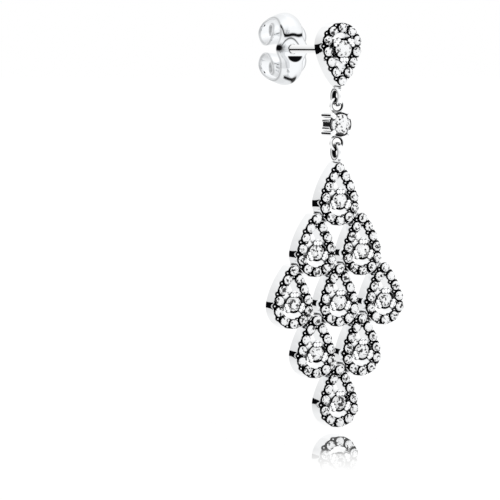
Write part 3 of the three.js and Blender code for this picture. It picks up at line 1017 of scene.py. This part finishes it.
def round_bar(bm, x, z, front, back, radius):
    """A round bar along Y with domed ends."""
    dome = 0.5 * radius
    turns = [i / 4 * pi / 2 for i in range(5)]
    profile = [(radius * sin(t), -front - dome * (1 - cos(t))) for t in turns]
    # Rings close to the domes keep the sides straight in the shading
    profile.append((radius, -front - dome - 0.03 * MM))
    profile.append((radius, -back + dome + 0.03 * MM))
    profile += [(radius * cos(t), -back + dome * (1 - sin(t))) for t in turns]
    turned(bm, profile, Vector((x, 0, z)), 24)


def connector_basket(silver):
    """Four bars with claw ends, cheeks, galleries, the stone's cup and the two wire rings."""
    link = settings().link
    low, high = solid_box("connector_setting")
    middle, diameter = stone_middle("connector_stone")
    ring_reach = link.ring_radius + link.ring_wire / 2
    half = Vector((high.x, 0, high.z - 2 * ring_reach + 0.1 * MM - middle.z))
    bm = bmesh.new()
    radius = link.bar / 2
    for side in (-1, 1):
        for level in (-1, 1):
            x = side * (half.x - radius)
            z = middle.z + level * (half.z - radius)
            round_bar(bm, x, z, low.y + 0.12 * MM, high.y, radius - 0.01 * MM)
            # A line painted dark, just proud of the wire, runs along the outer side of each bar: a
            # painted reflection
            first = len(bm.verts)
            near = (x, low.y + 0.32 * MM, z - link.seam / 2)
            far = (x + side * radius, high.y - 0.1 * MM, z + link.seam / 2)
            rounded_box(bm, near, far, 0.005 * MM, 1)
            blacken(bm, first)
            head = Vector((x - side * 0.12 * MM, low.y + 0.2 * MM, z - level * 0.12 * MM))
            ball(bm, head, (link.claw, 0.34 * MM, link.claw), 10, 18)
        connector_cheek(bm, side, half.x, middle, high.y)
    connector_galleries(bm, half, middle, high.y)
    edge = diameter / 2
    cup = [
        (0.62 * MM, -0.78 * MM),
        (0.8 * MM, -0.78 * MM),
        (edge + 0.1 * MM, -0.12 * MM),
        (edge + 0.06 * MM, -0.05 * MM),
        (edge - 0.16 * MM, -0.24 * MM),
    ]
    turned(bm, cup, middle, 48)
    # The seat is a ring painted dark round the stone: painted shadow between stone and cup
    seat = [
        (edge - 0.1 * MM, -0.34 * MM),
        (edge + 0.17 * MM, -0.26 * MM),
        (edge + 0.18 * MM, -0.09 * MM),
        (edge - 0.1 * MM, -0.05 * MM),
    ]
    first = len(bm.verts)
    turned(bm, seat, middle, 48)
    blacken(bm, first)
    for z in (high.z - ring_reach, low.z + ring_reach):
        centre = Vector((0, link.plane, z))
        torus(bm, centre, link.ring_radius, link.ring_wire, Vector((0, 1, 0)), link.ring_worn)
    return object_from(bm, "connector_basket", silver)


def connector_cheek(bm, side, half_width, middle, back):
    """One side of the basket between its bars: two rails with a slot between them, painted dark as
    shade.
    """
    link = settings().link
    outer, sunk, inner = (side * (half_width - inset * MM) for inset in (0.06, 0.18, 0.34))
    near = middle.y + 0.3 * MM
    half_slot = link.slot / 2
    for level in (-1, 1):
        low, high = middle.z + level * half_slot, middle.z + level * (half_slot + link.rail)
        rounded_box(bm, (outer, near, low), (inner, back - 0.05 * MM, high), 0.07 * MM)
    # A box in the slot, painted dark: painted shade
    first = len(bm.verts)
    low, high = (middle.z + level * (half_slot + 0.05 * MM) for level in (-1, 1))
    rounded_box(bm, (sunk, near + 0.02 * MM, low), (inner, back - 0.08 * MM, high), 0.02 * MM, 1)
    blacken(bm, first)


def connector_galleries(bm, half, middle, back):
    """Back bars of the basket and the two cross bars that carry the rings."""
    link = settings().link
    thick, edge = link.gallery, 0.06 * MM
    x = half.x - 0.2 * MM
    for side in (-1, 1):
        outer, inner = middle.z + side * half.z, middle.z + side * (half.z - thick)
        for near, far in ((back - thick, back), (link.plane - 0.24 * MM, link.plane + 0.24 * MM)):
            rounded_box(bm, (-x, near, outer), (x, far, inner), edge)
    x = half.x - 0.4 * MM
    cheek = link.slot / 2 + link.rail
    low = (-x, back - thick, middle.z - cheek)
    rounded_box(bm, low, (x, back - 0.06 * MM, middle.z + cheek), edge)


class EARRING_OT_clutch(bpy.types.Operator):
    """Butterfly clutch: pierced plate with both wings rolled up behind it"""

    bl_idname = "earring.clutch"
    bl_label = "Clutch"

    def execute(self, context):
        piece = clutch_strip()
        # A greyer copy of the silver, painted shade over the strip, with only faint painted shade
        # between its turns where surfaces lie close
        bright = settings().colour.strip
        silver = polished_silver("bright_rolled_silver_strip", bright, recess_dark=0.15)
        piece.data.materials.append(silver)
        # Left out of what the stud and the post mirror
        piece.visible_glossy = False
        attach(piece, "clutch")
        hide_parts("butterfly_clutch")
        return {"FINISHED"}


def roll_turn(t, clutch):
    """How many turns a wing has made at a share of its length; below 0 on the flat plate."""
    return (t - clutch.plate_share) / (1 - clutch.plate_share) * clutch.turns


def strip_place(t, clutch, front, grip):
    """Middle of the strip at a share of one wing: place (y, z) and outward direction."""
    roll_z = grip + clutch.roll - 0.75 * clutch.pitch
    if t < clutch.plate_share:
        flat = Vector((front + clutch.thickness / 2, roll_z * t / clutch.plate_share))
        return flat, Vector((-1, 0))
    turn = roll_turn(t, clutch)
    angle = pi - turn * tau
    outward = Vector((cos(angle), sin(angle)))
    radius = clutch.roll - clutch.pitch * turn - clutch.thickness / 2
    return Vector((front + clutch.roll, roll_z)) + outward * radius, outward


def strip_width(t, clutch):
    """Width of the strip: full at the post, a neck, the wide wing and its rounded end."""
    stations = [
        (0.0, clutch.plate),
        (0.75 * clutch.plate_share, clutch.neck),
        (0.3, 0.94 * clutch.neck),
        (0.48, clutch.wing),
        (0.6, 0.96 * clutch.wing),
        (0.8, 0.7 * clutch.wing),
        (1.0, clutch.wing_end),
    ]
    for (low, start), (high, end) in zip(stations, stations[1:]):
        if t <= high:
            return start + (end - start) * blend(t, low, high)
    return clutch.wing_end


def strip_dome(t, clutch):
    """How far the strip's edges lie inside its middle: domed in front, flared beside the post."""
    if t < clutch.plate_share:
        return clutch.dome * (0.4 + 0.6 * blend(t, 0.0, clutch.plate_share))
    turn = roll_turn(t, clutch) * tau
    return clutch.dome * (0.5 + 0.5 * cos(turn) + 1.1 * sin(turn))


def line_mark(distance, width):
    """1 on a pressed line, falling to 0 beside it."""
    return exp(-((distance / width) ** 2))


def plate_marks(x, z, share):
    """How deep the plate's face is pressed at a place, and how dark it is painted; worked out in
    mm.
    """
    x, z = x / MM, z / MM
    # Fold between plate and upper wing, turned up at its left end
    level = 1.44 + 0.05 * cos(share * 6.0) + 0.95 * blend(share, -0.68, -0.98)
    upper = line_mark(z - level, 0.15 + 0.07 * blend(share, -0.5, -0.9))
    upper *= blend(share, -1.0, -0.97) * blend(share, 0.96, 0.9)
    # Fold under the lower wing, wider at its right end
    lower = line_mark(z + 3.1 + 0.25 * share, 0.12 + 0.2 * blend(share, 0.0, 0.4))
    lower *= blend(share, -0.7, -0.6) * blend(share, 0.6, 0.45)
    # Nip at the left edge, where the two rolls are pressed together
    nip = line_mark(hypot(0.7 * (x + 1.6), z - 0.12), 0.32)
    press = 0.06 * (upper + lower + nip)
    # Folds and nip are painted dark: painted shade
    dark = min(1.8 * max(upper, lower, nip), 1.0)
    # Pressed hollow round the hole: an arch above the post and a deep lip below it
    reach = x + 0.27
    arch = z - 1.13 * (1 - (reach / 1.2) ** 2)
    if abs(reach) < 1.15 and z > 0:
        mark = line_mark(arch, 0.1)
        press += 0.05 * mark + 0.08 * blend(arch, 0.02, -0.3)
        # The arch is painted dark: a painted reflection
        dark = max(dark, 0.9 * mark)
    lip_z = -0.72
    lip = 1 - ((x - 0.28) / 0.9) ** 2 - ((z - lip_z) / 0.68) ** 2
    if z < lip_z and lip > 0:
        press += 0.12 * min(lip * 3, 1)
        # The lip is painted dark: painted shade in the hollow
        dark = max(dark, min(lip * 5, 1))
    return press * MM, dark


def strip_stations(marked):
    """Shares along one wing: close together on the plate and its folds, wider on the rolls."""
    fine, wide = 90, 64
    rolls = [marked + (1 - marked) * i / wide for i in range(wide + 1)]
    return [marked * i / fine for i in range(fine)] + rolls


def strip_section(t, side, front, grip, shares):
    """The strip's outline at a share of one wing, and how black each of its points is."""
    clutch = settings().clutch
    place, outward = strip_place(t, clutch, front, grip)
    half = strip_width(t, clutch) / 2
    dome = strip_dome(t, clutch)
    ring, shade = [], []
    for face in (1, -1):
        for share in shares[::face]:
            x = half * share
            rounding = clutch.thickness * 0.2 * blend(abs(share), 0.9, 1.0)
            out = face * (clutch.thickness / 2 - rounding) - dome * share * share
            # The strip's edges are drawn greyer than its face
            dark = 0.36 * blend(abs(share), 0.9, 0.97)
            # Inside the rolls the strip's inner face is painted grey: painted shade
            if face == -1:
                dark = max(dark, 0.5 * blend(t, 0.45, 0.65))
            elif t < clutch.marked_share:
                press, black = plate_marks(x, side * place.y, share)
                dark = max(dark, black)
                out -= press
            spot = place + outward * out
            ring.append(Vector((x, spot.x, side * spot.y)))
            shade.append(dark)
        edge = place - outward * dome
        ring.append(Vector((face * (half + 0.06 * MM), edge.x, side * edge.y)))
        shade.append(0.0)
    return ring, shade


def clutch_strip():
    """The whole strip, lofted from one rolled-in end over the plate to the other."""
    clutch = settings().clutch
    low, high = solid_box("butterfly_clutch")
    # The spiral's highest point lies a little before its top and would stand out of the solid
    overshoot = 0.004 * MM
    grip = high.z - (2 * clutch.roll - clutch.pitch) - overshoot
    columns = 48
    shares = [2 * i / columns - 1 for i in range(columns + 1)]
    wing = strip_stations(clutch.marked_share)
    stations = [(t, -1) for t in reversed(wing[1:])] + [(t, 1) for t in wing]
    sections = [strip_section(t, side, low.y, grip, shares) for t, side in stations]
    bm = bmesh.new()
    loft(bm, [ring for ring, _ in sections], shades=[shade for _, shade in sections])
    return with_post_hole(object_from(bm, "clutch_strip"), low.y)


def with_post_hole(strip, front):
    """Cuts the hole that the post goes through."""
    bm = bmesh.new()
    reach = 1.2 * MM
    radius = settings().clutch.hole / 2
    profile = [(0.0, -reach), (radius, -reach), (radius, reach), (0.0, reach)]
    turned(bm, profile, Vector((0, front, 0)), 40)
    hole = object_from(bm, "post_hole")
    modifier = strip.modifiers.new("post_hole", "BOOLEAN")
    modifier.object = hole
    modifier.operation = "DIFFERENCE"
    modifier.solver = "EXACT"
    depsgraph = bpy.context.evaluated_depsgraph_get()
    cut = bpy.data.meshes.new_from_object(strip.evaluated_get(depsgraph))
    strip.modifiers.remove(modifier)
    strip.data = cut
    bpy.data.objects.remove(hole)
    return strip


class EARRING_OT_stage(bpy.types.Operator):
    """Camera, glossy white floor, black card and bright surroundings"""

    bl_idname = "earring.stage"
    bl_label = "Stage"

    def execute(self, context):
        make_camera()
        make_floor()
        make_card()
        make_surroundings()
        context.scene.view_settings.view_transform = "Standard"
        return {"FINISHED"}


def make_camera():
    """The camera stands so that the earring lies in the picture where it is seen from here."""
    stage = settings().stage
    turn, dip = stage.azimuth, stage.elevation
    level = cos(dip)
    forward = Vector((sin(turn) * level, cos(turn) * level, -sin(dip)))
    right = Vector((cos(turn), -sin(turn), 0))
    up = right.cross(forward)
    picture = 500
    per_mm = stage.scale / MM
    aside = (stage.middle_pixel[0] - picture / 2) / per_mm
    above = (picture / 2 - stage.middle_pixel[1]) / per_mm
    place = Vector((0, 0, stage.middle_height)) - forward * stage.distance
    place -= right * aside + up * above
    camera = bpy.data.cameras.new("camera")
    camera.sensor_width = 36
    camera.lens = per_mm * stage.distance / picture * camera.sensor_width
    camera.clip_start = 0.01
    camera.clip_end = 20
    body = bpy.data.objects.new("camera", camera)
    turned_to = Matrix((right, up, -forward)).transposed().to_4x4()
    body.matrix_world = Matrix.Translation(place) @ turned_to
    bpy.context.collection.objects.link(body)
    bpy.context.scene.camera = body


def make_floor():
    """A round glossy white sheet just under the lowest pear."""
    stage = settings().stage
    place = Matrix.Translation((0, 0, cad_box[0][2] - stage.floor_gap))
    bm = bmesh.new()
    bmesh.ops.create_circle(bm, cap_ends=True, segments=96, radius=stage.floor_radius, matrix=place)
    floor = object_from(bm, "floor", floor_material())
    # The metal mirrors the bright room in its place
    floor.visible_glossy = False


def floor_material():
    """White acrylic lit from below, polished where the earring hangs and duller round it."""
    material, tree = new_material("white_acrylic_sheet")
    if tree is None:
        return material
    stage = settings().stage
    place = add_node(tree, "ShaderNodeTexCoord").outputs["Object"]
    flat = {0: place, 1: (1, 1, 0)}
    level = add_node(tree, "ShaderNodeVectorMath", flat, operation="MULTIPLY")
    away = add_node(tree, "ShaderNodeVectorMath", {0: level}, operation="LENGTH")
    reach = {"Value": away.outputs["Value"], "From Max": stage.mirror_reach}
    share = add_node(tree, "ShaderNodeMapRange", reach)
    fade = add_node(tree, "ShaderNodeValToRGB", {"Fac": share})
    levels = fade.color_ramp.elements
    # The mirror image is full at first, weaker a little further out, and then fades away
    for position, value in ((0.46, 1.0), (0.6, 0.32)):
        levels.new(position).color = (value, value, value, 1)
    levels[0].color = (1, 1, 1, 1)
    levels[-1].color = (0, 0, 0, 1)
    faded = {0: fade, 1: stage.mirror}
    strength = add_node(tree, "ShaderNodeMath", faded, operation="MULTIPLY")
    # The haze left from wiping lies in patches about 10 mm across
    haze = add_node(tree, "ShaderNodeTexNoise", {"Vector": place, "Scale": 1 / (10 * MM)})
    gloss = add_node(tree, "ShaderNodeMapRange", {"Value": haze, "To Min": 0.01, "To Max": 0.03})
    bright = {"Color": (1, 1, 1, 1), "Roughness": gloss}
    mirror = add_node(tree, "ShaderNodeBsdfAnisotropic", bright)
    glow = {"Color": linear(settings().colour.floor), "Strength": 1.05}
    lit = add_node(tree, "ShaderNodeEmission", glow)
    both = add_node(tree, "ShaderNodeMixShader", {0: strength, 1: lit, 2: mirror})
    add_node(tree, "ShaderNodeOutputMaterial", {"Surface": both})
    return material


def make_card():
    """A black card out of the picture, behind on the left, that the polished walls mirror."""
    stage = settings().stage
    half = Vector((stage.card_width / 2, 0.5 * MM, stage.card_length / 2))
    bm = bmesh.new()
    rounded_box(bm, -half, half, 0.2 * MM, 1)
    turn = Matrix.Rotation(stage.card_azimuth, 4, "Z")
    place = turn @ Vector((0, stage.card_distance, 0))
    place.z = stage.card_middle
    lean = Matrix.Rotation(-stage.card_lean, 4, "X")
    bm.transform(Matrix.Translation(place) @ turn @ lean)
    card = object_from(bm, "black_card", card_material())
    card.visible_camera = False


def card_material():
    """Matt black card; its fibre keeps what mirrors it from being an even black."""
    material, tree = new_material("matt_black_card")
    if tree is None:
        return material
    colour = settings().colour
    place = add_node(tree, "ShaderNodeTexCoord").outputs["Object"]
    # Fibres are about 0.5 mm long
    fine = {"Vector": place, "Scale": 1 / (0.5 * MM), "Detail": 4}
    fibre = add_node(tree, "ShaderNodeTexNoise", fine)
    tones = {"Factor": fibre, "A": linear(colour.card), "B": linear(colour.card_fibre)}
    tint = add_node(tree, "ShaderNodeMix", tones, data_type="RGBA")
    surface = {"Base Color": tint, "Roughness": 0.9, "Specular IOR Level": 0.0}
    shader = add_node(tree, "ShaderNodeBsdfPrincipled", surface)
    add_node(tree, "ShaderNodeOutputMaterial", {"Surface": shader})
    return material


def make_surroundings():
    """White all round, greyer at eye level on the left and brighter above and in front."""
    world = bpy.data.worlds.new("studio")
    world.use_nodes = True
    tree = world.node_tree
    tree.nodes.clear()
    where = add_node(tree, "ShaderNodeTexCoord").outputs["Generated"]
    parts = add_node(tree, "ShaderNodeSeparateXYZ", {"Vector": where}).outputs
    height = add_node(tree, "ShaderNodeMath", {0: parts["Z"]}, operation="ABSOLUTE")
    eye_level = {"Value": height, "From Max": 0.45, "To Min": 0.74, "To Max": 0.94}
    right = {"Value": parts["X"], "From Min": -0.1, "From Max": 0.1}
    brighter = {"To Min": 1.0, "To Max": 1.2}
    above = {"Value": parts["Z"], "From Min": 0.3} | brighter
    front = {"Value": parts["Y"], "From Min": 0.2, "From Max": -0.6} | brighter
    light = add_node(tree, "ShaderNodeMapRange", eye_level)
    for operation, limits in (("MAXIMUM", right), ("MULTIPLY", above), ("MULTIPLY", front)):
        share = add_node(tree, "ShaderNodeMapRange", limits)
        light = add_node(tree, "ShaderNodeMath", {0: light, 1: share}, operation=operation)
    # The camera itself sees plain white
    seen = add_node(tree, "ShaderNodeLightPath").outputs["Is Camera Ray"]
    white = {"Color": (1, 1, 1, 1)}
    lit = add_node(tree, "ShaderNodeBackground", white | {"Strength": light})
    plain = add_node(tree, "ShaderNodeBackground", white | {"Strength": 1.0})
    both = add_node(tree, "ShaderNodeMixShader", {0: seen, 1: lit, 2: plain})
    add_node(tree, "ShaderNodeOutputWorld", {"Surface": both})
    bpy.context.scene.world = world


PARTS = (PearSizes, StoneSizes, SettingSizes, LinkSizes, PostSizes, ClutchSizes)
PROPERTY_GROUPS = PARTS + (FinishColours, StageSizes, EarringSettings)
STEPS = (
    EARRING_OT_stage,
    EARRING_OT_stud_bands,
    EARRING_OT_stud_setting,
    EARRING_OT_drop_bands,
    EARRING_OT_drop_settings,
    EARRING_OT_links,
    EARRING_OT_connector,
    EARRING_OT_clutch,
)


class EARRING_PT_pieces(bpy.types.Panel):
    """The earring's pieces, in the order they are made"""

    bl_label = "Chandelier earring"
    bl_idname = "EARRING_PT_pieces"
    bl_space_type = "VIEW_3D"
    bl_region_type = "UI"
    bl_category = "Earring"

    def draw(self, context):
        for step in STEPS:
            self.layout.operator(step.bl_idname)


def register():
    for item in PROPERTY_GROUPS + STEPS + (EARRING_PT_pieces,):
        bpy.utils.register_class(item)
    bpy.types.Scene.earring = PointerProperty(type=EarringSettings)


def unregister():
    del bpy.types.Scene.earring
    for item in reversed(PROPERTY_GROUPS + STEPS + (EARRING_PT_pieces,)):
        bpy.utils.unregister_class(item)


def main():
    register()
    for step in STEPS:
        group, name = step.bl_idname.split(".")
        getattr(getattr(bpy.ops, group), name)()


if __name__ == "__main__":
    main()
